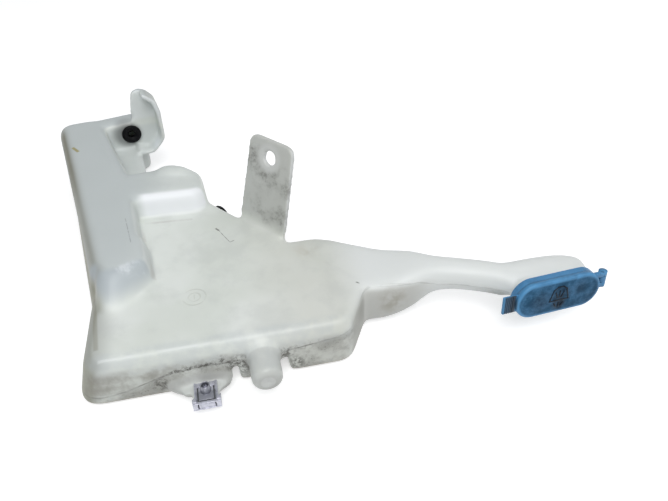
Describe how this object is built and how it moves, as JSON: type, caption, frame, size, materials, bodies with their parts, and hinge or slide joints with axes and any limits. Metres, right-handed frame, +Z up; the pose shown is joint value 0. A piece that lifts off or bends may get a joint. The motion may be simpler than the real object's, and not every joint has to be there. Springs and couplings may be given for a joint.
{
  "type": "washer fluid reservoir",
  "caption": "Slim blow-moulded fluid tank lying on its back, with a long filler tube to a hinged lid, a bracket, a locating peg, pump grommets and a clip nut.",
  "frame": {"origin": "middle of the footprint on the rest plane, with the tank lying on its back", "axes": "+X along the front wall towards the filler, +Y from the front wall to the pump bay, +Z up from the rest plane"},
  "size_m": [0.4736, 0.3846, 0.1271],
  "materials": {
    "tank": "milky blow-moulded skin",
    "collar": "moulded satin",
    "lid": "moulded satin",
    "pump_rubber": "plain",
    "rear_rubber": "plain",
    "clip": "dull zinc"
  },
  "bodies": {
    "tank": {"tank": "tank", "pump_end": "tank", "filler_tube": "tank", "filler_horn": "tank", "clip_lug": "tank", "filler_collar": "collar", "pump_grommet": "pump_rubber", "rear_grommet": "rear_rubber", "clip_nut": "clip"},
    "lid": {"filler_lid": "lid"}
  },
  "joints": [
    {"name": "lid_hinge", "type": "hinge", "parent": "tank", "child": "lid", "pos_m": [0.23311, -0.15861, 0.04217], "axis": [-0.0097, 0.1388, 0.9903], "range_deg": [0, 115]}
  ]
}
